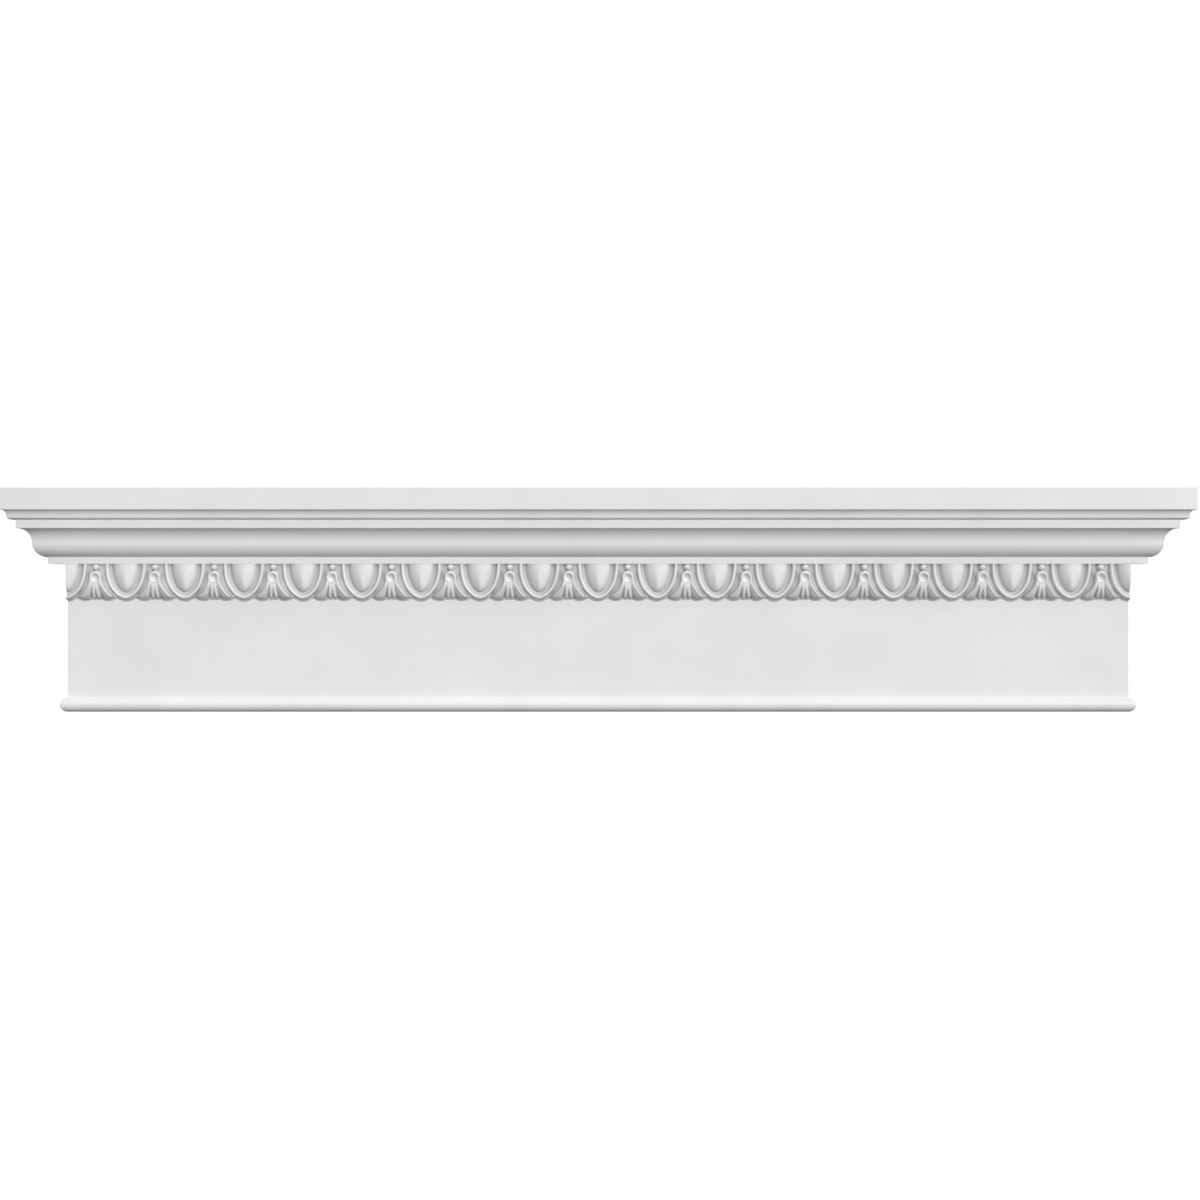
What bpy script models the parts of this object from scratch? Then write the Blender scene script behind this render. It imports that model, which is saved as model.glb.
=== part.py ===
# A crosshead moulding: the cast entablature that is fixed over a door opening.
# Its back lies on the plane Y = 0, its face looks along -Y, and Z = 0 is half of its height.
# It is one casting, so it is one solid: the run of mouldings, with the carving joined on.

import bpy
import bmesh
from math import cos, pi, radians, sin, sqrt

MM = 0.001

# Driving dimensions
frieze_width = 1092.0 * MM      # a 36 inch door and its two 3 1/2 inch casings
frieze_thickness = 25.4 * MM
height = 228.6 * MM
band_top = 152.3 * MM           # heights in the profile are measured up from the underside
band_bottom = 112.7 * MM
ground_foot = 3.0 * MM          # how high above the band's foot its ground starts to round off
ground_knee = 0.8 * MM          # a point on that rounding, with its share of the ground's depth
ground_knee_share = 0.6
bead_radius = 7.0 * MM
eggs_across = 18                # pitches of the egg and dart in the width of the frieze

pitch = frieze_width / eggs_across
half_width = frieze_width / 2

# Members of the cornice from the top down, each from (reach, height) to (reach, height). Reach is
# how far a member stands out from the frieze, to the front and to both sides.
fascia = ((59.2 * MM, height), (59.2 * MM, 206.3 * MM))
small_cove = ((57.3 * MM, 206.3 * MM), (52.3 * MM, 198.5 * MM))
small_round = ((52.3 * MM, 198.5 * MM), (44.6 * MM, 196.25 * MM))
upper_fillet_foot = (44.6 * MM, 188.0 * MM)
cove = ((43.6 * MM, 188.0 * MM), (30.9 * MM, 173.5 * MM))
ovolo = ((30.9 * MM, 173.5 * MM), (17.3 * MM, 158.9 * MM))
lower_fillet_foot = (17.3 * MM, band_top)

# Relief of the band, as depths in front of the frieze
ground_depth = 5.5 * MM
groove_depth = 5.0 * MM
egg_depth = 13.4 * MM
shell_depth = 11.4 * MM
dart_depth = 14.6 * MM
dart_rim = 1.4 * MM             # the raised edge of a dart
flute_depth = 5.0 * MM
middle_flute_share = 0.8        # the middle flute's depth as a share of a side flute's
lip_depth = 3.0 * MM            # the shell's outer edge under the egg's point
pearl_centre_depth = 10.8 * MM
eye_centre_depth = 15.8 * MM
embed = 4.0 * MM                # how far the back of each carved shape goes into the run behind it

# Outlines in the band: each is a pointed U, found from its half width at the top
egg_half_width = 14.2 * MM
shell_half_width = 19.6 * MM
egg_ring_angles = (30, 54, 78)  # degrees round the egg's dome
shell_crest = 0.9 * MM          # half the width of the shell's crest
shell_crest_fall = 0.3 * MM     # how much lower the crest's outer edge is
shell_under_egg = 1.0 * MM
shell_floor_width = 3.2 * MM    # from the shell's own line in to the foot of its inner wall
shell_floor_rise = 2.2 * MM
shell_wall = 2.4 * MM           # from the shell's own line out to the foot of its outer wall
lip_wall = 1.6 * MM             # how much wider that wall is under the egg's point
lip_power = 4
point_drop = 19.0 * MM          # how far down a U of no width would reach
point_slope = 0.846             # how much further down it reaches for each unit of half width
side_power = 1.2
drop_power = 0.83
steps_down = 5                  # points from the top of a U to its foot

# The dart, measured down from the top of the band and out from its centre line
dart_neck = 6.0 * MM
arch_centre = 12.6 * MM
flare_start = 16.5 * MM
dart_foot = 37.4 * MM
dart_spread = 19.2 * MM
head_angles = (70, 30)          # degrees round the arched head
leaf_drops = (22.0 * MM, 27.5 * MM, 32.5 * MM)
flare_power = 1.75
bend_start = 22.0 * MM          # from here the dart's face rounds back towards the foot
bend_length = 16.8 * MM
bend_power = 0.75
rim_width = 1.0 * MM
rim_width_share = 0.15          # the most that a rim, a flute's place and its flank take of the half width
rim_foot_share = 0.3
flute_out = 4.6 * MM            # from the dart's centre line to a side flute
flute_out_share = 0.55
flute_flank = 1.5 * MM
flute_flank_share = 0.2
flute_start = 20.0 * MM
flute_length = 12.0 * MM        # down to where a side flute has its full depth
middle_flute_start = 27.0 * MM
middle_flute_length = 7.0 * MM
eye_drop = 14.4 * MM
eye_radius = 4.4 * MM
pearl_drop = 2.9 * MM
pearl_radius = 3.8 * MM
ball_segments = 8
ball_rings = 5

# Finish of the joined solid
sliver_gap = 0.05 * MM
flat_angle = 1.5                # degrees between faces that count as one


def quarter(start, end, hollow, steps):
    """Points of a quarter ellipse between two (reach, height) points, without the first one.

    A hollow quarter leaves level and arrives upright; a full one leaves upright and arrives level."""
    points = []
    for i in range(1, steps + 1):
        a = pi / 2 * i / steps
        across, down = (sin(a), 1 - cos(a)) if hollow else (1 - cos(a), sin(a))
        points.append((start[0] + (end[0] - start[0]) * across, start[1] + (end[1] - start[1]) * down))
    return points


def cornice_profile():
    """(reach, height) points of the cornice, from the top down to the soffit over the band."""
    points = list(fascia) + [small_cove[0]]
    points += quarter(*small_cove, True, 3)
    points += quarter(*small_round, False, 3)
    points += [upper_fillet_foot, cove[0]]
    points += quarter(*cove, True, 5)
    points += quarter(*ovolo, False, 5)
    points.append(lower_fillet_foot)
    return points


def bead_profile():
    """(reach, height) points of the half-round bead, from its top to the underside."""
    steps = 8
    return [(bead_radius * sin(pi * i / steps), bead_radius * (1 + cos(pi * i / steps)))
            for i in range(steps + 1)]


def run_levels():
    """(height, reach at the sides, reach at the front) of each level, from the top down.

    The cornice and the bead return round both ends, and the band is cut square with the frieze."""
    levels = [(z, reach, reach) for reach, z in cornice_profile()]
    levels += [(band_top, 0, ground_depth), (band_bottom + ground_foot, 0, ground_depth)]
    levels += [(band_bottom + ground_knee, 0, ground_depth * ground_knee_share), (band_bottom, 0, 0)]
    levels += [(z, reach, reach) for reach, z in bead_profile()]
    return levels


def solid_object(name, bm, collection):
    """A mesh object from a bmesh, with its faces turned outwards."""
    bmesh.ops.recalc_face_normals(bm, faces=bm.faces)
    mesh = bpy.data.meshes.new(name)
    bm.to_mesh(mesh)
    bm.free()
    obj = bpy.data.objects.new(name, mesh)
    collection.objects.link(obj)
    return obj


def moulding_run(name, collection):
    """The run of mouldings with its mitred returns: a rectangle at each level, open at the flat back."""
    bm = bmesh.new()
    rows = []
    for z, side, front in run_levels():
        x, y = half_width + side, -(frieze_thickness + front)
        corners = ((-x, 0), (-x, y), (x, y), (x, 0))
        rows.append([bm.verts.new((cx, cy, z - height / 2)) for cx, cy in corners])
    for upper, lower in zip(rows, rows[1:]):
        for i in range(3):
            bm.faces.new((upper[i], upper[i + 1], lower[i + 1], lower[i]))
    bm.faces.new(rows[0])
    bm.faces.new(rows[-1])
    bm.faces.new([row[0] for row in rows] + [row[3] for row in reversed(rows)])
    return solid_object(name, bm, collection)


def band_point(bm, centre, across, down, depth):
    """A vertex in the band: across from a centre line, down from the band's top, out from the frieze."""
    return bm.verts.new((centre + across, -(frieze_thickness + depth), band_top - down - height / 2))


def loft(bm, rings):
    """Joins closed rings of equal length into one closed body."""
    count = len(rings[0])
    for a, b in zip(rings, rings[1:]):
        for i in range(count):
            j = (i + 1) % count
            bm.faces.new((a[i], a[j], b[j], b[i]))
    bm.faces.new(rings[0])
    bm.faces.new(rings[-1])


def pointed_u(half, angle):
    """A point of the pointed U whose half width at the top is half; angle runs from -90 to 90 degrees."""
    across = half * abs(sin(angle)) ** side_power
    down = (point_drop + point_slope * half) * abs(cos(angle)) ** drop_power
    return (across if angle > 0 else -across), down


def u_angles():
    return [pi / 2 * i / steps_down for i in range(-steps_down, steps_down + 1)]


def cut_at_ends(bm):
    """Cuts what passes an end of the frieze off square and closes the cut."""
    for side in (-1, 1):
        bmesh.ops.bisect_plane(bm, geom=bm.verts[:] + bm.edges[:] + bm.faces[:],
                               plane_co=(side * half_width, 0, 0), plane_no=(side, 0, 0),
                               clear_outer=True, dist=1e-6)
        bmesh.ops.holes_fill(bm, edges=[e for e in bm.edges if e.is_boundary])


def egg(centre, collection):
    """Nested pointed Us that rise to a keel: a quarter-round dome over the groove."""
    bm = bmesh.new()
    shares = [(1.0, -embed), (1.0, groove_depth)]
    for angle in egg_ring_angles:
        rise = sin(radians(angle))
        shares.append((cos(radians(angle)), groove_depth + (egg_depth - groove_depth) * rise))
    rings = []
    for share, depth in shares:
        half = egg_half_width * share
        outline = [pointed_u(half, angle) for angle in u_angles()]
        outline = [(-half, -embed)] + outline + [(half, -embed)]
        rings.append([band_point(bm, centre, across, down, depth) for across, down in outline])
    loft(bm, rings)
    cut_at_ends(bm)
    return solid_object("egg", bm, collection)


def shell(centre, collection):
    """The raised border round an egg: sharp on the outside, hollow towards the egg."""
    bm = bmesh.new()
    rings = []
    angles = u_angles()
    for angle in [angles[0]] + angles + [angles[-1]]:
        lip = cos(angle) ** lip_power   # the outer side reaches lower under the egg's point
        inner = egg_half_width - shell_under_egg
        outer = shell_half_width + shell_wall + lip_wall * lip
        section = [
            (inner, -embed),
            (inner, groove_depth),
            (shell_half_width - shell_floor_width, groove_depth + shell_floor_rise),
            (shell_half_width - shell_crest, shell_depth),
            (shell_half_width + shell_crest, shell_depth - shell_crest_fall),
            (outer, ground_depth * (1 - lip) + lip_depth * lip),
            (outer, -embed),
        ]
        above = len(rings) == 0 or len(rings) == len(angles) + 1
        ring = []
        for half, depth in section:
            across, down = pointed_u(half, angle)
            ring.append(band_point(bm, centre, across, -embed if above else down, depth))
        rings.append(ring)
    loft(bm, rings)
    cut_at_ends(bm)
    return solid_object("shell", bm, collection)


def dart_half_width(down):
    """Half the dart's width: a round arch, straight sides, then a hollow flare to the tips."""
    if down < arch_centre:
        return sqrt(max(dart_neck ** 2 - (arch_centre - down) ** 2, 0))
    flare = max(down - flare_start, 0) / (dart_foot - flare_start)
    return dart_neck + (dart_spread - dart_neck) * flare ** flare_power


def dart_face(down):
    """Depth of the dart's face: level at first, then rounding back to the foot."""
    bend = max(down - bend_start, 0) / bend_length
    return dart_depth * (1 - bend ** 2) ** bend_power


def dart(centre, collection):
    """The leaf between two eggs: an arched head, a raised edge, two side flutes and a middle one."""
    bm = bmesh.new()
    drops = [arch_centre - dart_neck * sin(radians(a)) for a in head_angles]
    drops += [flare_start, *leaf_drops, dart_foot]
    rings = []
    for down in drops:
        half = dart_half_width(down)
        face = dart_face(down)
        rim = min(rim_width, half * rim_width_share)
        flute = min(flute_out, half * flute_out_share)
        flank = min(flute_flank, half * flute_flank_share)
        full_cut = flute_depth * face / dart_depth
        cut = full_cut * min(max(down - flute_start, 0) / flute_length, 1)
        middle = min(max(down - middle_flute_start, 0) / middle_flute_length, 1)
        middle *= full_cut * middle_flute_share
        right = [(flute - flank, face), (flute, face - cut), (flute + flank, face),
                 (half - rim, face + dart_rim), (half, face + dart_rim * rim_foot_share), (half, -embed)]
        left = [(-across, depth) for across, depth in reversed(right)]
        section = left + [(0, face - middle)] + right
        rings.append([band_point(bm, centre, across, down, depth) for across, depth in section])
    loft(bm, rings)
    return solid_object("dart", bm, collection)


def ball(name, centre, down, depth, radius, collection):
    """A ball whose pole faces forwards."""
    bm = bmesh.new()
    bmesh.ops.create_uvsphere(bm, u_segments=ball_segments, v_segments=ball_rings, radius=radius)
    obj = solid_object(name, bm, collection)
    obj.rotation_euler = (radians(90), 0, 0)
    obj.location = (centre, -(frieze_thickness + depth), band_top - down - height / 2)
    return obj


def satin_primer():
    material = bpy.data.materials.new("satin_white_primer")
    material.use_nodes = True
    shader = material.node_tree.nodes["Principled BSDF"]
    shader.inputs["Base Color"].default_value = (0.80, 0.80, 0.79, 1)
    shader.inputs["Roughness"].default_value = 0.45
    shader.inputs["Metallic"].default_value = 0.0
    material.diffuse_color = (0.80, 0.80, 0.79, 1)
    return material


def new_collection(name):
    collection = bpy.data.collections.new(name)
    bpy.context.scene.collection.children.link(collection)
    return collection


def add_boolean(obj, name, operation, shapes):
    modifier = obj.modifiers.new(name, "BOOLEAN")
    modifier.operation = operation
    modifier.operand_type = "COLLECTION"
    modifier.collection = shapes
    modifier.solver = "EXACT"


def main():
    for obj in list(bpy.data.objects):
        bpy.data.objects.remove(obj, do_unlink=True)

    model = new_collection("crosshead_moulding_model")
    raised = new_collection("carving_raised")
    sunk = new_collection("carving_sunk")

    for i in range(-eggs_across // 2, eggs_across // 2 + 1):
        egg(i * pitch, raised)
        shell(i * pitch, raised)
    for i in range(eggs_across):
        centre = (i + 0.5) * pitch - half_width
        dart(centre, raised)
        ball("pearl", centre, pearl_drop, pearl_centre_depth, pearl_radius, raised)
        ball("eye", centre, eye_drop, eye_centre_depth, eye_radius, sunk)
    for shape in list(raised.objects) + list(sunk.objects):
        shape.hide_render = True
        shape.display_type = "WIRE"

    moulding = moulding_run("crosshead_moulding", model)
    moulding.data.materials.append(satin_primer())
    add_boolean(moulding, "raised carving", "UNION", raised)
    add_boolean(moulding, "sunk eyes", "DIFFERENCE", sunk)
    weld = moulding.modifiers.new("close slivers", "WELD")
    weld.merge_threshold = sliver_gap
    planes = moulding.modifiers.new("join flat faces", "DECIMATE")
    planes.decimate_type = "DISSOLVE"
    planes.angle_limit = radians(flat_angle)


main()
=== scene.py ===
# The looks of the crosshead moulding: one casting in white primer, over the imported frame.
# Lengths in the dictionaries are in millimetres unless a note says otherwise.
import math

import bmesh
import bpy
import numpy as np
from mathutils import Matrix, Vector


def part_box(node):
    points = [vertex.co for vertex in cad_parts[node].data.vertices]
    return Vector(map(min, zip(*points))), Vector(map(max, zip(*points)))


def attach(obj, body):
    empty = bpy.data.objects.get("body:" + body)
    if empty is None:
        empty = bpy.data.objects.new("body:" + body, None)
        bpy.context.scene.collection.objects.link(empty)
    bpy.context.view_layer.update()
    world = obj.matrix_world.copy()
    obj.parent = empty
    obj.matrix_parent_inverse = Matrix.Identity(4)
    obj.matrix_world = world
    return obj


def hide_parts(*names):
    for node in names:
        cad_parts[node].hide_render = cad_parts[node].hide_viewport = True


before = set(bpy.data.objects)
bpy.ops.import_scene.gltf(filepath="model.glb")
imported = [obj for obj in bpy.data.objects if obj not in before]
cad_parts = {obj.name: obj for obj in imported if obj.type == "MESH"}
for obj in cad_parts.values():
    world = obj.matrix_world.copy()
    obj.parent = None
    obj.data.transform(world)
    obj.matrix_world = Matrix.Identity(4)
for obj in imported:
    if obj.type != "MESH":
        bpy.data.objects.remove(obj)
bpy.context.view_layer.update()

mm = 0.001
castingNode = "crosshead_moulding"

lowCorner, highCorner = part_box(castingNode)
totalHeight = (highCorner[2] - lowCorner[2]) / mm
totalWidth = (highCorner[0] - lowCorner[0]) / mm
totalDepth = -lowCorner[1] / mm
print("frame loaded:", castingNode, round(totalWidth, 1), round(totalDepth, 1), round(totalHeight, 1))

# the run of the moulding: heights are measured up from the underside, reaches out from the frieze
run = {
    "friezeThickness": 25.4,
    "bandTop": 152.3, "bandBottom": 112.7,
    "pitches": 18,              # from one egg of the band to the next
    "beadRadius": 7.0,
    # members of the cornice from the top down: the fascia's foot is a height, a fillet's foot is a
    # (reach, height) point, and a curve is its upper and its lower point
    "fasciaFoot": 206.3,
    "smallCove": ((57.3, 206.3), (52.3, 198.5)),
    "smallRound": ((52.3, 198.5), (44.6, 196.25)),
    "upperFilletFoot": (44.6, 188.0),
    "cove": ((43.6, 188.0), (30.9, 173.5)),
    "ovolo": ((30.9, 173.5), (17.3, 158.9)),
    "curveSteps": 14,
    "edgeEase": 0.45,           # how far each outer edge of the profile is softened
    "easeShare": 0.3,           # the softening takes at most this share of a flat
    "easeHold": 0.4,            # one more point on the flat stands off by this share of the softening
    "leastTurn": 20,            # degrees; what turns less is part of a curve
    "mitreEase": 0.6,           # how far the upright edges at the mitres are softened
    "mitreSteps": 4,
}

corniceReach = totalDepth - run["friezeThickness"]
halfFrieze = totalWidth / 2 - corniceReach


# a quarter ellipse between two (reach, height) points, without its first one: a hollow one leaves
# level and arrives upright, a full one leaves upright and arrives level
def quarter(ends, hollow, steps):
    start, end = np.array(ends[0]), np.array(ends[1])
    a = np.linspace(0, math.pi / 2, steps + 1)[1:]
    across, down = (np.sin(a), 1 - np.cos(a)) if hollow else (1 - np.cos(a), np.sin(a))
    return start + (end - start) * np.stack([across, down], axis=1)


# each outer corner gives way to a short curve of three points, with one more point on the flat at
# each side of it, so that the flat stays flat. Inner corners stay crisp.
def easeCorners(points, ease):
    before = points[1:-1] - points[:-2]
    after = points[2:] - points[1:-1]
    inLength = np.linalg.norm(before, axis=1, keepdims=True)
    outLength = np.linalg.norm(after, axis=1, keepdims=True)
    before, after = before / inLength, after / outLength
    turn = before[:, 0] * after[:, 1] - before[:, 1] * after[:, 0]
    outer = turn < -math.sin(math.radians(run["leastTurn"]))
    stepIn = np.minimum(ease, inLength * run["easeShare"])
    stepOut = np.minimum(ease, outLength * run["easeShare"])
    corner = points[1:-1]
    start, end = corner - before * stepIn, corner + after * stepOut
    middle = np.where(outer[:, None], (start + 2 * corner + end) / 4, corner)
    hold = run["easeHold"]
    first, last = start - before * stepIn * hold, end + after * stepOut * hold
    five = np.stack([first, start, middle, end, last], axis=1)
    keep = np.stack([outer, outer, np.ones_like(outer), outer, outer], axis=1)
    return np.concatenate([points[:1], five[keep], points[-1:]])


# the cornice's profile from the fascia's top edge down to the top of the band
def cornicePoints():
    steps = run["curveSteps"]
    points = [[(corniceReach, totalHeight), (corniceReach, run["fasciaFoot"]), run["smallCove"][0]]]
    points.append(quarter(run["smallCove"], True, steps // 2))
    points.append(quarter(run["smallRound"], False, steps // 2))
    points.append([run["upperFilletFoot"], run["cove"][0]])
    points.append(quarter(run["cove"], True, steps))
    points.append(quarter(run["ovolo"], False, steps))
    points.append([(run["ovolo"][1][0], run["bandTop"])])
    points = np.concatenate([np.array(p, dtype=float) for p in points])
    return easeCorners(points, run["edgeEase"])


# the bead's profile, a half circle from its top down to the underside
def beadPoints():
    a = np.linspace(0, math.pi, 2 * run["curveSteps"] + 1)
    return run["beadRadius"] * np.stack([np.sin(a), 1 + np.cos(a)], axis=1)


# carries the profile round the plan: back, left return, rounded mitre, front, rounded mitre,
# right return, back. The plan grows by the reach on three sides, and the mitre's radius with it.
def sweepRound(points):
    reach, z = points[:, :1], points[:, 1:]
    ease = np.minimum(run["mitreEase"], reach / 2)
    a = np.linspace(0, math.pi / 2, run["mitreSteps"] + 1)[None, :]
    x = halfFrieze + reach - ease + ease * np.cos(a)
    y = run["friezeThickness"] + reach - ease + ease * np.sin(a)
    side = halfFrieze + reach
    front = np.linspace(-halfFrieze, halfFrieze, run["pitches"] + 1) + 0 * reach
    x = np.concatenate([-side, -x, front, x[:, ::-1], side], axis=1)
    frontDepth = -(run["friezeThickness"] + reach) + 0 * front
    y = np.concatenate([0 * side, -y, frontDepth, -y[:, ::-1], 0 * side], axis=1)
    return np.stack([x, y, np.broadcast_to(z, x.shape)], axis=2)


# the egg and dart band: u runs across from the nearest egg's centre line, v down from the band's
# top, and depths are measured out from the face of the frieze
band = {
    "ground": 5.5, "groundBendStart": 20.0, "groundBendLength": 21.0,
    "footStart": 30.0, "footSlope": 3.8,        # below the start, every shape ends this steeply
    # columns from the egg's centre line to its border, to the shell's roll, across the roll, to the
    # foot of the dart's flank, up the flank, to its side flute and to its centre line
    "columnCounts": (7, 6, 9, 4, 3, 7, 8), "leastColumn": 0.27,
    "rowBreaks": (0, 8, 19, 28), "rowCounts": (10, 15, 11, 24),
    "samples": 5, "spread": (0.3, 0.45),        # a point's depth is a mean over so far across and down
}


# eases from 0 at low to 1 at high
def smoothStep(x, low, high):
    t = np.clip((x - low) / (high - low), 0, 1)
    return t * t * (3 - 2 * t)


# the larger of two, with a rounded join so wide
def softMax(a, b, width):
    t = np.clip(0.5 + 0.5 * (a - b) / width, 0, 1)
    return b * (1 - t) + a * t + width * t * (1 - t)


# a smooth bump, 1 at 0 and level with 0 from -1 and 1 outwards
def bell(x):
    return np.cos(np.clip(x, -1, 1) * math.pi / 2) ** 2


# the nested Us of the egg and the shell
uForm = {"inner": 2.3, "outer": 0.55, "widest": 80.0, "halvings": 32}


# a U of half width r at the top reaches u = r * (1 - (v / depth) ^ inner) ^ outer at v, and its
# depth is drop + slope * r
def uAcross(r, v, form):
    t = np.clip(v / (form["drop"] + form["slope"] * r), 0, 1)
    return r * (1 - t ** uForm["inner"]) ** uForm["outer"]


# the half width at the top of the U through (u, v), found by halving
def uWidth(u, v, form):
    low, high = np.zeros_like(u), np.full_like(u, uForm["widest"])
    for _ in range(uForm["halvings"]):
        r = (low + high) / 2
        inside = (uAcross(r, v, form) >= u) & (v <= form["drop"] + form["slope"] * r)
        high = np.where(inside, r, high)
        low = np.where(inside, low, r)
    return (low + high) / 2


egg = {
    "halfWidth": 13.7, "drop": 14.6, "slope": 1.063,
    "groove": 5.8, "crest": 13.8,       # depths at its border and at its middle
    "edge": 0.9,                        # how near to upright the dome's ellipse comes
    "keel": 0.035, "keelStart": 6.0, "keelFull": 22.0,
}


# the egg: a dome over the nested Us, its depth an ellipse of the share of its half width, cut off
# before the ellipse turns upright, with a keel down its lower half
def eggDepth(u, v):
    share = uWidth(u, v, egg) / egg["halfWidth"]
    least = math.sqrt(1 - egg["edge"])
    dome = (np.sqrt(np.clip(1 - egg["edge"] * share ** 2, 0, 1)) - least) / (1 - least)
    keel = 1 - egg["keel"] * u * smoothStep(v, egg["keelStart"], egg["keelFull"])
    depth = egg["groove"] + (egg["crest"] - egg["groove"]) * np.clip(dome, 0, 1) * keel
    return np.where(share < 1, depth, 0)


# the band's ground, which rounds back towards its foot as a quarter ellipse
def groundDepth(v):
    bend = np.clip((v - band["groundBendStart"]) / band["groundBendLength"], 0, 1)
    return band["ground"] * np.sqrt(1 - bend ** 2)


# a scallop's foot is a parabola, lowest at its middle and higher by the rise at half its width
def scallopFoot(side, foot, rise, middle, half):
    return foot - rise * ((side - middle) / half) ** 2


shell = {
    "halfWidth": 19.0, "drop": 18.3, "slope": 0.846,
    "crest": 11.6, "roll": 1.75, "rollRound": 0.9, "rollSides": 1.3,   # both, its fall at half width
    "rollReach": 1.4,                   # the grid's lines lie so many half widths either side of it
    "coveRise": 1.2, "coveSweep": 1.6, "join": 0.3,
    "outerGroove": 1.4, "outerGrooveAt": 3.0, "outerGrooveWidth": 1.7,
    "outerGrooveStart": 4.0, "outerGrooveFull": 12.0,
    "lipFoot": 38.5, "lipRise": 4.3, "lipReach": 10.3, "lipHighest": 35.4,
    # the lip starts so far outside the roll, and would end so far past its foot
    "lipOut": 0.9, "lipPast": 0.6,
    "lipFade": 4.0, "lipStart": 30.0, "lipFull": 34.0,
}


# the shell round the egg: a narrow roll on the rim of a cove, with a fine groove outside it. Under
# the egg's point its outer side is the lip, a quarter ellipse to the frieze.
def shellDepth(u, v):
    away = uWidth(u, v, shell) - shell["halfWidth"]
    share = away / shell["roll"]
    roll = shell["crest"] - shell["rollRound"] * share ** 2 - shell["rollSides"] * share ** 4
    coveWidth = shell["halfWidth"] - egg["halfWidth"]
    cove = egg["groove"] + shell["coveRise"] * np.clip(1 + away / coveWidth, 0, 1) ** shell["coveSweep"]
    groove = shell["outerGroove"] * bell((away - shell["outerGrooveAt"]) / shell["outerGrooveWidth"])
    floor = groundDepth(v) - groove * smoothStep(v, shell["outerGrooveStart"], shell["outerGrooveFull"])
    ridge = softMax(roll, np.where(away < 0, cove, floor), shell["join"])
    bottom = scallopFoot(u, shell["lipFoot"], shell["lipRise"], 0, shell["lipReach"])
    bottom = np.clip(bottom, shell["lipHighest"], None)
    start = shell["drop"] + shell["slope"] * (shell["halfWidth"] + shell["lipOut"])
    fall = np.clip((v - start) / (shell["lipFoot"] + shell["lipPast"] - start), 0, 1)
    lip = shell["crest"] * np.sqrt(1 - fall ** 2)
    under = bell(u / (shell["lipReach"] + shell["lipFade"]))
    under = under * smoothStep(v, shell["lipStart"], shell["lipFull"])
    return np.maximum(ridge, np.where(away > 0, lip * under, 0)), bottom


dart = {
    "neck": 5.7, "archCentre": 13.5,    # half the width of its head, and how far down the arch springs
    "flareStart": 15.0, "tip": 35.4, "spread": 19.4, "flarePower": 2.2,
    "edgeLean": 0.85,                   # the way in from the leaning edge, as a share of the way across
    "face": 15.0, "bendStart": 20.0, "bendLength": 18.6,
    "rim": 1.1, "rimIn": 0.8, "rimWidth": 1.4,
    "hollow": 2.2, "hollowStart": 20.0, "hollowFull": 30.0, "leastLeaf": 1.0,
    "flank": 0.8, "flankTop": 0.2,      # its side rises from so far outside its edge to so far inside
    "footAt": 1.25,                     # where the grid has a line for the foot of its flank
}
# each scallop's foot, rise, middle and half width, and where the leaves begin beside the fingers
scallops = {"leaf": (38.1, 3.0, 11.5, 7.8), "finger": (37.0, 2.6, 2.3, 2.9), "leafStart": 5.2}
flutes = {
    "sideStart": 21.5, "middleStart": 25.0, "foot": 34.0,
    "sideTop": 2.9, "sideFoot": 5.5, "sidePast": 1.2,
    "topWidth": 0.3, "sideWidth": 1.75, "middleWidth": 1.5, "widthPower": 1.4,
    "cut": 7.0, "cutPower": 0.8,
}
eye = {
    "down": 14.4, "radius": 3.9, "cut": 3.8,
    "rim": 0.8, "rimAt": 1.15, "rimWidth": 1.3,     # the rim's middle is so many radii out
    "rimEnd": 19.0,                     # it is left out below this
}


# half the dart's width below its arched head: straight sides, then a hollow flare to the tips
def dartHalfWidth(v):
    flare = np.clip((v - dart["flareStart"]) / (dart["tip"] - dart["flareStart"]), 0, 1)
    return dart["neck"] + (dart["spread"] - dart["neck"]) * flare ** dart["flarePower"]


# how far a side flute's line is from the dart's centre line: it leans outwards
def fluteOut(v):
    share = np.clip((v - flutes["sideStart"]) / (flutes["foot"] - flutes["sideStart"]), 0, flutes["sidePast"])
    return flutes["sideTop"] + (flutes["sideFoot"] - flutes["sideTop"]) * share


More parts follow.
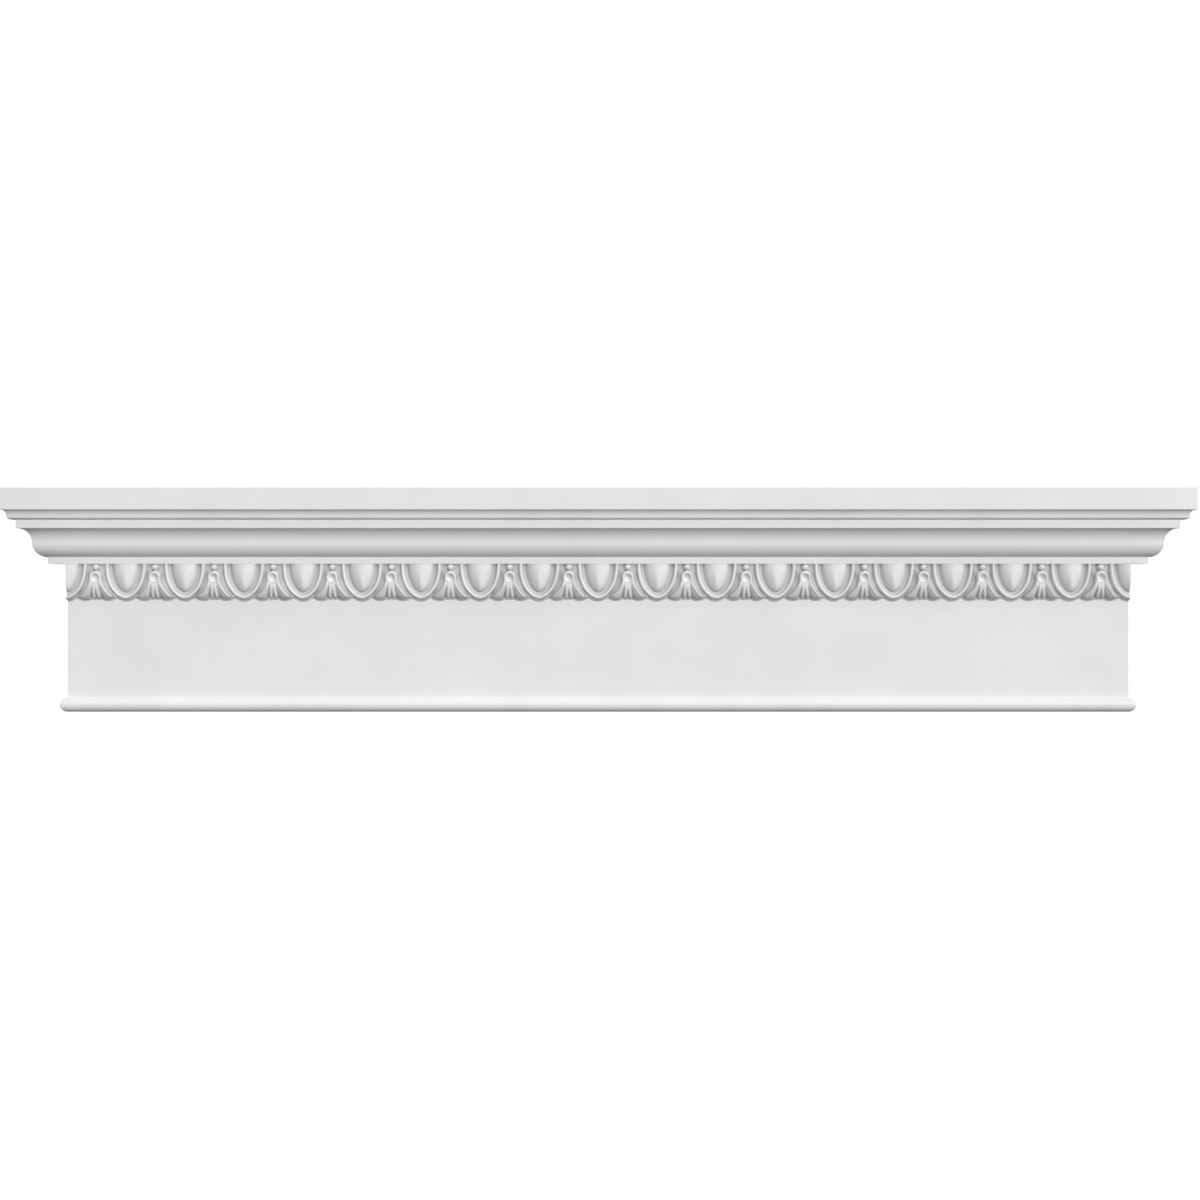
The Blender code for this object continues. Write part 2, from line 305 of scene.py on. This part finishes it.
# the dart's face bends back as a quarter ellipse towards its foot, and its edge is a raised rim. Its
# leaves sink a little from their rims towards three flutes, which part them and the two fingers. The
# eye is a round hollow with a rim.
def dartDepth(w, v):
    side = np.abs(w)
    bend = np.clip((v - dart["bendStart"]) / dart["bendLength"], 0, 1)
    envelope = np.sqrt(1 - bend ** 2)
    half = dartHalfWidth(v)
    archDrop = np.hypot(side, np.clip(dart["archCentre"] - v, 0, None))
    inside = np.where(v < dart["archCentre"], dart["neck"] - archDrop, (half - side) * dart["edgeLean"])
    rim = dart["rim"] * bell((inside - dart["rimIn"]) / dart["rimWidth"])
    across = (side - fluteOut(v)) / np.maximum(half - fluteOut(v), dart["leastLeaf"])
    hollow = dart["hollow"] * np.where(across > 0, np.clip(1 - across, 0, 1), 0)
    hollow = hollow * smoothStep(v, dart["hollowStart"], dart["hollowFull"])
    face = dart["face"] * envelope + rim - hollow
    for start, centre, width in ((flutes["sideStart"], fluteOut(v), flutes["sideWidth"]),
                                 (flutes["middleStart"], 0, flutes["middleWidth"])):
        share = np.clip((v - start) / (flutes["foot"] - start), 0, 1)
        halfFlute = flutes["topWidth"] + width * share ** flutes["widthPower"]
        notch = np.clip(1 - np.abs(side - centre) / halfFlute, 0, 1)
        face -= flutes["cut"] * share ** flutes["cutPower"] * envelope * notch * (2 - notch)
    away = np.hypot(side, v - eye["down"]) / eye["radius"]
    eyeRim = eye["rim"] * bell((away - eye["rimAt"]) * eye["radius"] / eye["rimWidth"])
    face += np.where(v < eye["rimEnd"], eyeRim, 0)
    face -= eye["cut"] * np.clip(1 - away ** 2, 0, 1)
    leaf, finger = scallopFoot(side, *scallops["leaf"]), scallopFoot(side, *scallops["finger"])
    return face, inside, np.where(side > scallops["leafStart"], leaf, finger)


pearl = {"down": 3.2, "radius": 3.25, "top": 14.0, "edge": 0.85, "flank": 9.0}


# the pearl over the dart: a ball in front of the ground, with steep straight sides below it
def pearlDepth(w, v):
    away = np.hypot(w, v - pearl["down"]) / pearl["radius"]
    ball = np.sqrt(1 - pearl["edge"] * np.clip(away, 0, 1) ** 2)
    flank = pearl["flank"] * np.clip(away - 1, 0, None)
    return pearl["top"] - pearl["radius"] * (1 - ball + flank)


# depth of the band in front of the frieze. What stands highest at a point is what shows there, and
# below the foot's start everything is cut back to its own scallop.
def bandDepth(u, v, pitch):
    u, v = np.abs(u), np.clip(v, 0, None)
    w = np.abs(pitch / 2 - u)
    ridge, lipBottom = shellDepth(u, v)
    depth = np.maximum(eggDepth(u, v), ridge)
    face, inside, leafBottom = dartDepth(w, v)
    onDart = smoothStep(inside, -dart["flank"], dart["flankTop"])
    bottom = lipBottom + (leafBottom - lipBottom) * onDart
    depth = depth + np.clip(face - depth, 0, None) * onDart
    depth = np.maximum(depth, pearlDepth(w, v))
    cliff = np.clip((bottom - v) * band["footSlope"], 0, None)
    return np.where(v > band["footStart"], np.minimum(depth, cliff), depth)


# evenly spaced points within each stretch, from the first break up to the end
def stretches(breaks, counts, end):
    ends = list(breaks[1:]) + [end]
    parts = [np.linspace(low, high, n, endpoint=False) for low, high, n in zip(breaks, ends, counts)]
    return np.concatenate(parts + [[end]])


# the lines that the columns follow at each v: the egg's border, the roll's two sides, the foot and
# the top of the dart's flank, and its side flute. Where they run together below the egg, each stretch
# keeps its columns' least width.
def columnLines(v, halfPitch):
    rollSide = shell["roll"] * shell["rollReach"]
    dartEdge = halfPitch - dartHalfWidth(v)
    lines = [0 * v, uAcross(egg["halfWidth"], v, egg), uAcross(shell["halfWidth"] - rollSide, v, shell),
             uAcross(shell["halfWidth"] + rollSide, v, shell), dartEdge - dart["footAt"], dartEdge,
             halfPitch - fluteOut(v), halfPitch + 0 * v]
    least = band["leastColumn"] * np.cumsum((0,) + band["columnCounts"])
    lines = np.maximum(np.stack(lines), least[:, None])
    return np.minimum(lines, halfPitch - (least[-1] - least[:, None]))


# the band is worked out over half a pitch, averaged round each point so that steep sides run clean
# across the grid, and laid out mirrored along the frieze
def bandGrid():
    pitch = 2 * halfFrieze / run["pitches"]
    down = stretches(band["rowBreaks"], band["rowCounts"], run["bandTop"] - run["bandBottom"])
    lines = columnLines(down, pitch / 2)
    parts = [low[:, None] + (high - low)[:, None] * np.arange(n) / n
             for low, high, n in zip(lines, lines[1:], band["columnCounts"])]
    u = np.concatenate(parts + [lines[-1][:, None]], axis=1)
    v = down[:, None] + 0 * u
    steps = np.linspace(-1, 1, band["samples"])
    across, along = band["spread"]
    depth = sum(bandDepth(u + across * i, v + along * j, pitch) for i in steps for j in steps)
    depth = depth / len(steps) ** 2
    depth[-1] = 0
    depth = np.concatenate([depth[:, :-1], depth[:, :0:-1]], axis=1)
    onePitch = np.concatenate([u[:, :-1], pitch - u[:, :0:-1]], axis=1)
    starts = pitch * np.arange(run["pitches"])[None, :, None] - halfFrieze
    x = (onePitch[:, None, :] + starts).reshape(len(down), -1)
    x = np.append(x, halfFrieze + 0 * x[:, :1], axis=1)
    depth = np.tile(depth, run["pitches"])
    depth = np.append(depth, depth[:, :1], axis=1)
    return np.stack([x, -(run["friezeThickness"] + depth), run["bandTop"] - down[:, None] + 0 * x], axis=2)


# the four-sided faces of a grid of point numbers
def gridQuads(index):
    return np.stack([index[:-1, :-1], index[1:, :-1], index[1:, 1:], index[:-1, 1:]], axis=2).reshape(-1, 4)


# flat faces between a row of many points and a row of few, a stretch of the many to each gap of the few
def stitch(many, few, stretch):
    return [np.concatenate([few[k + 1:k - 1 if k else None:-1], many[k * stretch:(k + 1) * stretch + 1]])
            for k in range(len(few) - 1)]


surface = {
    "faceStretch": 8,           # the frieze has one column for so many of the band's
    "faceDrop": 8.0,            # how far below the band its row of fewer points stands
    "weld": 1e-6,               # metres
    "creaseAngle": 75,          # degrees
    "borderWidth": 0.01,
    "backFacing": 0.99,         # how squarely a face looks back to be part of the bare back
}


# the whole casting as one closed surface: three grids, and flat many-sided faces between them
def castingMesh():
    cornice, relief, bead = sweepRound(cornicePoints()), bandGrid(), sweepRound(beadPoints())
    perPitch = (relief.shape[1] - 1) // run["pitches"]
    stretch = surface["faceStretch"]
    face = relief[-1:, ::stretch].copy()                 # a row of fewer points across the frieze
    face[..., 2] -= surface["faceDrop"]
    backs = np.array([[(-halfFrieze, 0, run["bandTop"]), (halfFrieze, 0, run["bandTop"])]])
    grids = (cornice, relief, bead, face, backs)
    numbers, first = [], 0
    for grid in grids:
        size = grid.shape[0] * grid.shape[1]
        numbers.append(first + np.arange(size).reshape(grid.shape[:2]))
        first += size
    c, r, b, f, k = numbers                              # each point's number, grid by grid
    quads = np.concatenate([gridQuads(index) for index in (c, r, b)])
    lead = run["mitreSteps"] + 2                         # stations before the first one on the front
    front = slice(lead, lead + run["pitches"] + 1)
    left, right = k[0]
    soffit, foot = c[-1], b[0]
    flats = [
        c[0],                                                       # top
        np.concatenate([soffit[:lead + 1], r[0, :1], [left]]),      # soffit of the left return
        np.concatenate([soffit[-lead - 1:], [right], r[0, -1:]]),   # soffit of the right return
        # left and right ends of the frieze
        np.concatenate([[left], r[:, 0], f[0, :1], foot[lead:lead + 1], foot[:1]]),
        np.concatenate([[right], foot[-1:], foot[-lead - 1:-lead], f[0, -1:], r[::-1, -1]]),
        b[-1],                                                      # underside
        # back
        np.concatenate([c[:, 0], [left], b[:, 0], b[::-1, -1], [right], c[::-1, -1]]),
    ]
    flats += stitch(r[0], soffit[front], perPitch)
    flats += stitch(r[-1], f[0], stretch)
    flats += stitch(f[0], foot[front], perPitch // stretch)
    points = np.concatenate([g.reshape(-1, 3) for g in grids]) * mm
    points[:, 2] += lowCorner[2]
    return points, quads, flats


# the many-sided flats are shaded flat and keep sharp borders; the rest is smooth up to a crease, and
# the carving is smooth all over
def shadeCasting(mesh):
    corners = np.empty(len(mesh.polygons), dtype=np.int32)
    mesh.polygons.foreach_get("loop_total", corners)
    mesh.polygons.foreach_set("use_smooth", corners <= 4)
    mesh.set_sharp_from_angle(angle=math.radians(surface["creaseAngle"]))
    edgeOfCorner = np.empty(len(mesh.loops), dtype=np.int32)
    mesh.loops.foreach_get("edge_index", edgeOfCorner)
    sharp = np.empty(len(mesh.edges), dtype=bool)
    mesh.edges.foreach_get("use_edge_sharp", sharp)
    ends = np.empty(2 * len(mesh.edges), dtype=np.int32)
    mesh.edges.foreach_get("vertices", ends)
    place = np.empty(3 * len(mesh.vertices), dtype=np.float32)
    mesh.vertices.foreach_get("co", place)
    across, height = np.abs(place[0::3]) / mm, (place[2::3] - lowCorner[2]) / mm
    border = surface["borderWidth"]
    carved = (height > run["bandBottom"] + border) & (height < run["bandTop"] - border)
    carved &= across < halfFrieze - border
    sharp[carved[ends].reshape(-1, 2).any(axis=1)] = False
    sharp[edgeOfCorner[np.repeat(corners > 4, corners)]] = True
    mesh.edges.foreach_set("use_edge_sharp", sharp)


def buildCasting():
    points, quads, flats = castingMesh()
    mesh = bpy.data.meshes.new("crossheadCasting")
    mesh.from_pydata(points.tolist(), [], quads.tolist() + [f.tolist() for f in flats])
    bm = bmesh.new()
    bm.from_mesh(mesh)
    bmesh.ops.remove_doubles(bm, verts=bm.verts, dist=surface["weld"])
    bmesh.ops.recalc_face_normals(bm, faces=bm.faces)
    bm.to_mesh(mesh)
    bm.free()
    shadeCasting(mesh)
    # what looks back takes the second material, the bare one
    facing = np.empty(3 * len(mesh.polygons), dtype=np.float32)
    mesh.polygons.foreach_get("normal", facing)
    mesh.polygons.foreach_set("material_index", (facing[1::3] > surface["backFacing"]).astype(np.int32))
    piece = bpy.data.objects.new("crossheadCasting", mesh)
    bpy.context.scene.collection.objects.link(piece)
    return piece


# a node with its settings, and its inputs as fixed values or links from other nodes' sockets. An
# input goes by its name, with _ for a space, or by _ and its number where names repeat.
def addNode(tree, kind, settings=None, **inputs):
    node = tree.nodes.new(kind)
    for name, value in (settings or {}).items():
        setattr(node, name, value)
    for name, value in inputs.items():
        socket = node.inputs[int(name[1:])] if name[1:].isdigit() else node.inputs[name.replace("_", " ")]
        if isinstance(value, bpy.types.NodeSocket):
            tree.links.new(value, socket)
        else:
            socket.default_value = value
    return node


# an empty node group with its named sockets
def newGroup(name, inputs, outputs):
    group = bpy.data.node_groups.new(name, "ShaderNodeTree")
    for label, kind, value in inputs:
        socket = group.interface.new_socket(label, in_out="INPUT", socket_type=kind)
        if value is not None:
            socket.default_value = value
    for label, kind in outputs:
        group.interface.new_socket(label, in_out="OUTPUT", socket_type=kind)
    return group, group.nodes.new("NodeGroupInput").outputs, group.nodes.new("NodeGroupOutput").inputs


# what both finishes share. In these and in their own values the scales are in repeats a metre, the
# heights and depths of a pattern in metres, and a pore's radius in cells
pattern = {
    "cloudScale": 14.0, "cloudDetail": 5.0, "colourSpread": (0.35, 0.65), "roughSpread": (0.3, 0.7),
    "poreScale": 260.0, "poreDepth": 0.0002,
}


# soft clouds that run from one colour to another, with a roughness that follows them
def cloudGroup():
    group, given, result = newGroup(
        "castingClouds",
        [("Vector", "NodeSocketVector", None), ("Scale", "NodeSocketFloat", 10.0),
         ("Pale", "NodeSocketColor", None), ("Dull", "NodeSocketColor", None),
         ("Low", "NodeSocketFloat", 0.4), ("High", "NodeSocketFloat", 0.6)],
        [("Color", "NodeSocketColor"), ("Roughness", "NodeSocketFloat")])
    noise = addNode(group, "ShaderNodeTexNoise", Vector=given["Vector"], Scale=given["Scale"],
                    Detail=pattern["cloudDetail"])
    low, high = pattern["colourSpread"]
    spread = addNode(group, "ShaderNodeMapRange", Value=noise.outputs[0], From_Min=low, From_Max=high)
    colour = addNode(group, "ShaderNodeMix", {"data_type": "RGBA"}, _0=spread.outputs[0], _6=given["Dull"],
                     _7=given["Pale"])
    low, high = pattern["roughSpread"]
    rough = addNode(group, "ShaderNodeMapRange", Value=noise.outputs[0], From_Min=low, From_Max=high,
                    To_Min=given["Low"], To_Max=given["High"])
    group.links.new(colour.outputs[2], result["Color"])
    group.links.new(rough.outputs[0], result["Roughness"])
    return group


# round pores of the casting: a mask that is 1 inside a pore, and only a share of the cells has one
def poreGroup():
    group, given, result = newGroup(
        "castingPores",
        [("Vector", "NodeSocketVector", None), ("Scale", "NodeSocketFloat", 200.0),
         ("Radius", "NodeSocketFloat", 0.1), ("Share", "NodeSocketFloat", 0.1)],
        [("Mask", "NodeSocketFloat")])
    cells = addNode(group, "ShaderNodeTexVoronoi", Vector=given["Vector"], Scale=given["Scale"])
    near = addNode(group, "ShaderNodeMapRange", {"interpolation_type": "SMOOTHSTEP"},
                   Value=cells.outputs["Distance"], From_Min=0.0, From_Max=given["Radius"],
                   To_Min=1.0, To_Max=0.0)
    parts = addNode(group, "ShaderNodeSeparateColor", Color=cells.outputs["Color"])
    chosen = addNode(group, "ShaderNodeMath", {"operation": "LESS_THAN"}, _0=parts.outputs[0],
                     _1=given["Share"])
    mask = addNode(group, "ShaderNodeMath", {"operation": "MULTIPLY"}, _0=near.outputs[0],
                   _1=chosen.outputs[0])
    group.links.new(mask.outputs[0], result["Mask"])
    return group


# a new material with its nodes, its shader and the object's own coordinates
def newMaterial(name):
    material = bpy.data.materials.new(name)
    material.use_nodes = True
    tree = material.node_tree
    place = addNode(tree, "ShaderNodeTexCoord").outputs["Object"]
    return material, tree, tree.nodes["Principled BSDF"], place


# a colour with full opacity
def rgba(colour):
    return (*colour, 1)


primer = {
    "pale": (0.875, 0.875, 0.87), "dull": (0.845, 0.845, 0.838), "roughLow": 0.44, "roughHigh": 0.54,
    "peelScale": 850.0, "peelDetail": 2.0, "peelHeight": 0.00006,
    "poreRadius": 0.08, "poreShare": 0.006,
}

# painted shade in the carving: the primer's colour is taken down where its hollows would lie in shade
paintedRecessShade = {
    # by the depth in front of the frieze, as a share of the deepest, and the tone left there
    "deepest": 16.0, "tones": ((0.0, 1.0), (0.12, 1.0), (0.27, 0.66), (0.42, 0.68), (0.66, 1.0)),
    # and by how closed in a place is, looking so many metres round it
    "reach": 0.0055, "samples": 16, "closed": 0.25, "open": 0.66, "closedTone": 0.5,
    "topBorder": 0.2,           # it begins within so much of the band's top
    "fades": 4.0, "ends": 9.0,  # how far below the band it begins to fade, and ends
}


# white primer sprayed over the casting: faint clouds and orange peel, a few pinholes, and painted shade that
# makes the carving's hollows a little darker
def primerMaterial(clouds, pores):
    material, tree, shader, place = newMaterial("satinPrimer")
    cloud = addNode(tree, "ShaderNodeGroup", {"node_tree": clouds}, Vector=place, Scale=pattern["cloudScale"],
                    Pale=rgba(primer["pale"]), Dull=rgba(primer["dull"]),
                    Low=primer["roughLow"], High=primer["roughHigh"])
    pore = addNode(tree, "ShaderNodeGroup", {"node_tree": pores}, Vector=place, Scale=pattern["poreScale"],
                   Radius=primer["poreRadius"], Share=primer["poreShare"])
    # painted shade: the base colour is darker where the carving is closed in, and by its depth in front of
    # the frieze
    openness = addNode(tree, "ShaderNodeAmbientOcclusion", {"samples": paintedRecessShade["samples"], "only_local": True},
                       Distance=paintedRecessShade["reach"])
    shade = addNode(tree, "ShaderNodeMapRange", Value=openness.outputs["AO"], From_Min=paintedRecessShade["closed"],
                    From_Max=paintedRecessShade["open"], To_Min=paintedRecessShade["closedTone"], To_Max=1.0)
    position = addNode(tree, "ShaderNodeSeparateXYZ", Vector=place)
    depth = addNode(tree, "ShaderNodeMapRange", Value=position.outputs["Y"],
                    From_Min=-run["friezeThickness"] * mm,
                    From_Max=-(run["friezeThickness"] + paintedRecessShade["deepest"]) * mm)
    # painted shade by depth: the ground and grooves of the carving are darker
    paintedDepthShade = addNode(tree, "ShaderNodeValToRGB", Fac=depth.outputs[0])
    stops = paintedDepthShade.color_ramp.elements
    for at, tone in paintedRecessShade["tones"][1:-1]:
        stops.new(at)
    for stop, (at, tone) in zip(stops, paintedRecessShade["tones"]):
        stop.position, stop.color = at, (tone, tone, tone, 1)
    both = addNode(tree, "ShaderNodeMath", {"operation": "MULTIPLY"}, _0=shade.outputs[0], _1=paintedDepthShade.outputs[0])
    belowTop = addNode(tree, "ShaderNodeMapRange", Value=position.outputs["Z"],
                       From_Min=(run["bandTop"] + paintedRecessShade["topBorder"]) * mm + lowCorner[2],
                       From_Max=(run["bandTop"] - paintedRecessShade["topBorder"]) * mm + lowCorner[2])
    aboveFoot = addNode(tree, "ShaderNodeMapRange", Value=position.outputs["Z"],
                        From_Min=(run["bandBottom"] - paintedRecessShade["ends"]) * mm + lowCorner[2],
                        From_Max=(run["bandBottom"] - paintedRecessShade["fades"]) * mm + lowCorner[2])
    inBand = addNode(tree, "ShaderNodeMath", {"operation": "MULTIPLY"}, _0=belowTop.outputs[0],
                     _1=aboveFoot.outputs[0])
    shadeHere = addNode(tree, "ShaderNodeMix", {"data_type": "FLOAT"}, _0=inBand.outputs[0], _2=1.0,
                        _3=both.outputs[0])
    colour = addNode(tree, "ShaderNodeVectorMath", {"operation": "SCALE"}, _0=cloud.outputs["Color"],
                     Scale=shadeHere.outputs[0])
    peel = addNode(tree, "ShaderNodeTexNoise", Vector=place, Scale=primer["peelScale"],
                   Detail=primer["peelDetail"])
    peelBump = addNode(tree, "ShaderNodeBump", Height=peel.outputs[0], Distance=primer["peelHeight"])
    poreBump = addNode(tree, "ShaderNodeBump", {"invert": True}, Height=pore.outputs["Mask"],
                       Distance=pattern["poreDepth"], Normal=peelBump.outputs[0])
    tree.links.new(colour.outputs[0], shader.inputs["Base Color"])
    tree.links.new(cloud.outputs["Roughness"], shader.inputs["Roughness"])
    tree.links.new(poreBump.outputs[0], shader.inputs["Normal"])
    return material


bare = {
    "pale": (0.80, 0.77, 0.70), "dull": (0.70, 0.67, 0.60), "roughLow": 0.68, "roughHigh": 0.86,
    "planeScale": (3.0, 3.0, 420.0), "planeDetail": 3.0, "planeHeight": 0.00012,
    "poreRadius": 0.24, "poreShare": 0.5, "poreTone": 0.72,
}


# the bare back: the plane's long fine marks along the casting, and the cut foam's pores, painted darker as
# shade inside them
def bareMaterial(clouds, pores):
    material, tree, shader, place = newMaterial("planedPolyurethane")
    cloud = addNode(tree, "ShaderNodeGroup", {"node_tree": clouds}, Vector=place, Scale=pattern["cloudScale"],
                    Pale=rgba(bare["pale"]), Dull=rgba(bare["dull"]),
                    Low=bare["roughLow"], High=bare["roughHigh"])
    pore = addNode(tree, "ShaderNodeGroup", {"node_tree": pores}, Vector=place, Scale=pattern["poreScale"],
                   Radius=bare["poreRadius"], Share=bare["poreShare"])
    stretched = addNode(tree, "ShaderNodeMapping", Vector=place, Scale=bare["planeScale"])
    marks = addNode(tree, "ShaderNodeTexNoise", Vector=stretched.outputs[0], Scale=1.0,
                    Detail=bare["planeDetail"])
    # painted shade: the colour is taken down inside each pore
    paintedPoreShade = addNode(tree, "ShaderNodeMapRange", Value=pore.outputs["Mask"], To_Min=1.0,
                     To_Max=bare["poreTone"])
    colour = addNode(tree, "ShaderNodeVectorMath", {"operation": "SCALE"}, _0=cloud.outputs["Color"],
                     Scale=paintedPoreShade.outputs[0])
    markBump = addNode(tree, "ShaderNodeBump", Height=marks.outputs[0], Distance=bare["planeHeight"])
    poreBump = addNode(tree, "ShaderNodeBump", {"invert": True}, Height=pore.outputs["Mask"],
                       Distance=pattern["poreDepth"], Normal=markBump.outputs[0])
    tree.links.new(colour.outputs[0], shader.inputs["Base Color"])
    tree.links.new(cloud.outputs["Roughness"], shader.inputs["Roughness"])
    tree.links.new(poreBump.outputs[0], shader.inputs["Normal"])
    return material


lighting = {
    "worldTilt": (0.0, 0.0, 0.06),      # how much brighter the world is from above than from the side
    "worldLevel": 0.32, "worldLeast": 0.02,
    # name, degrees round to the right of the camera, degrees up, degrees across, strength, shadow
    "lights": [("keyLight", 30, 25, 20, 2.27, False), ("topLight", 10, 60, 60, 0.45, False),
               ("rearLeftLight", -150, 0, 40, 0.9, True), ("rearRightLight", 150, 0, 40, 0.9, True)],
    "lightDistance": 4.0,               # metres, and only for show, as a sun lights from anywhere
}


# the camera sees plain white; everything else is lit by a soft world, and by wide lamps. Those in
# front throw no shadow, as in the photograph, and those behind are kept off the carving by theirs.
def lightScene():
    world = bpy.data.worlds.new("softStudio")
    bpy.context.scene.world = world
    world.use_nodes = True
    tree = world.node_tree
    tree.nodes.clear()
    towards = addNode(tree, "ShaderNodeVectorMath", {"operation": "DOT_PRODUCT"}, _1=lighting["worldTilt"],
                      _0=addNode(tree, "ShaderNodeTexCoord").outputs["Generated"])
    level = addNode(tree, "ShaderNodeMath", {"operation": "ADD"}, _0=towards.outputs["Value"],
                    _1=lighting["worldLevel"])
    strength = addNode(tree, "ShaderNodeMath", {"operation": "MAXIMUM"}, _0=level.outputs[0],
                       _1=lighting["worldLeast"])
    lit = addNode(tree, "ShaderNodeBackground", Strength=strength.outputs[0])
    seen = addNode(tree, "ShaderNodeBackground", Color=(1, 1, 1, 1))
    ray = addNode(tree, "ShaderNodeLightPath")
    mix = addNode(tree, "ShaderNodeMixShader", _0=ray.outputs["Is Camera Ray"], _1=lit.outputs[0],
                  _2=seen.outputs[0])
    addNode(tree, "ShaderNodeOutputWorld", Surface=mix.outputs[0])
    for name, around, up, across, strength, shadow in lighting["lights"]:
        data = bpy.data.lights.new(name, "SUN")
        data.angle = math.radians(across)
        data.energy = strength
        data.use_shadow = shadow
        lamp = bpy.data.objects.new(name, data)
        bpy.context.scene.collection.objects.link(lamp)
        around, up = math.radians(around), math.radians(up)
        place = Vector((math.cos(up) * math.sin(around), -math.cos(up) * math.cos(around), math.sin(up)))
        lamp.location = place * lighting["lightDistance"]
        lamp.rotation_euler = (-place).to_track_quat("-Z", "Y").to_euler()


floorPaper = {
    "height": -3.2, "reach": 30.0,      # metres
    "tone": 0.8, "roughness": 0.8,
    "glow": 0.42,                       # lifts the floor to the white of the background
}


# a wide plane of white paper, far below the casting
def buildFloor():
    corners = np.array([(-1, -1), (1, -1), (1, 1), (-1, 1)]) * floorPaper["reach"]
    points = np.column_stack([corners, np.full(4, floorPaper["height"])])
    mesh = bpy.data.meshes.new("studioFloor")
    mesh.from_pydata(points.tolist(), [], [(0, 1, 2, 3)])
    floor = bpy.data.objects.new("studioFloor", mesh)
    bpy.context.scene.collection.objects.link(floor)
    material = bpy.data.materials.new("palePaper")
    material.use_nodes = True
    shader = material.node_tree.nodes["Principled BSDF"]
    shader.inputs["Base Color"].default_value = rgba([floorPaper["tone"]] * 3)
    shader.inputs["Roughness"].default_value = floorPaper["roughness"]
    shader.inputs["Emission Color"].default_value = (1, 1, 1, 1)
    shader.inputs["Emission Strength"].default_value = floorPaper["glow"]
    mesh.materials.append(material)
    floor.visible_diffuse = False       # the floor's bounce would fill the shade under the mouldings
    floor.visible_glossy = False


view = {
    "lens": 85, "sensor": 36,
    "distance": 2.9186,                 # metres from the face of the frieze
    "right": 0.002, "up": 0.00075,      # metres from the middle, and from half height
}


# looks level and square at the front
def placeCamera():
    data = bpy.data.cameras.new("camera")
    data.lens = view["lens"]
    data.sensor_width = view["sensor"]
    camera = bpy.data.objects.new("camera", data)
    bpy.context.scene.collection.objects.link(camera)
    camera.location = (view["right"], -(run["friezeThickness"] * mm + view["distance"]), view["up"])
    camera.rotation_euler = (math.radians(90), 0, 0)
    bpy.context.scene.camera = camera


casting = buildCasting()
print("casting built:", len(casting.data.polygons), "faces")
clouds, pores = cloudGroup(), poreGroup()
casting.data.materials.append(primerMaterial(clouds, pores))
casting.data.materials.append(bareMaterial(clouds, pores))
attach(casting, "root")
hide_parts(castingNode)
print("finishes made:", ", ".join(material.name for material in casting.data.materials))
buildFloor()
lightScene()
placeCamera()
bpy.context.scene.view_settings.view_transform = "Standard"
bpy.context.scene.view_settings.look = "None"
print("studio lit, with the camera", view["distance"], "m away")
